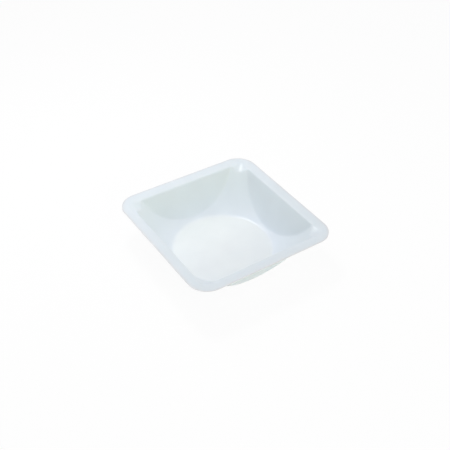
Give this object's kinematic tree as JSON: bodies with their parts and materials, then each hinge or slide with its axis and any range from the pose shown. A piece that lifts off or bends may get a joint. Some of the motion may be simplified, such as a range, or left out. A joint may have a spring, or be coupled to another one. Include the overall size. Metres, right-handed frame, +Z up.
{
  "type": "weighing boat",
  "caption": "Square thermoformed plastic weighing boat: flat round base, round bowl cut by flat drafted walls, flat rim with a small spout at each corner.",
  "frame": {"origin": "middle of the round base's underside", "axes": "+Z up, out of the open top; +X and +Y square to the rim's straight sides"},
  "size_m": [0.089, 0.089, 0.0225],
  "materials": {
    "polystyrene_sheet": "satin, slightly translucent white"
  },
  "bodies": {
    "root": {"boat": "polystyrene_sheet"}
  },
  "joints": []
}
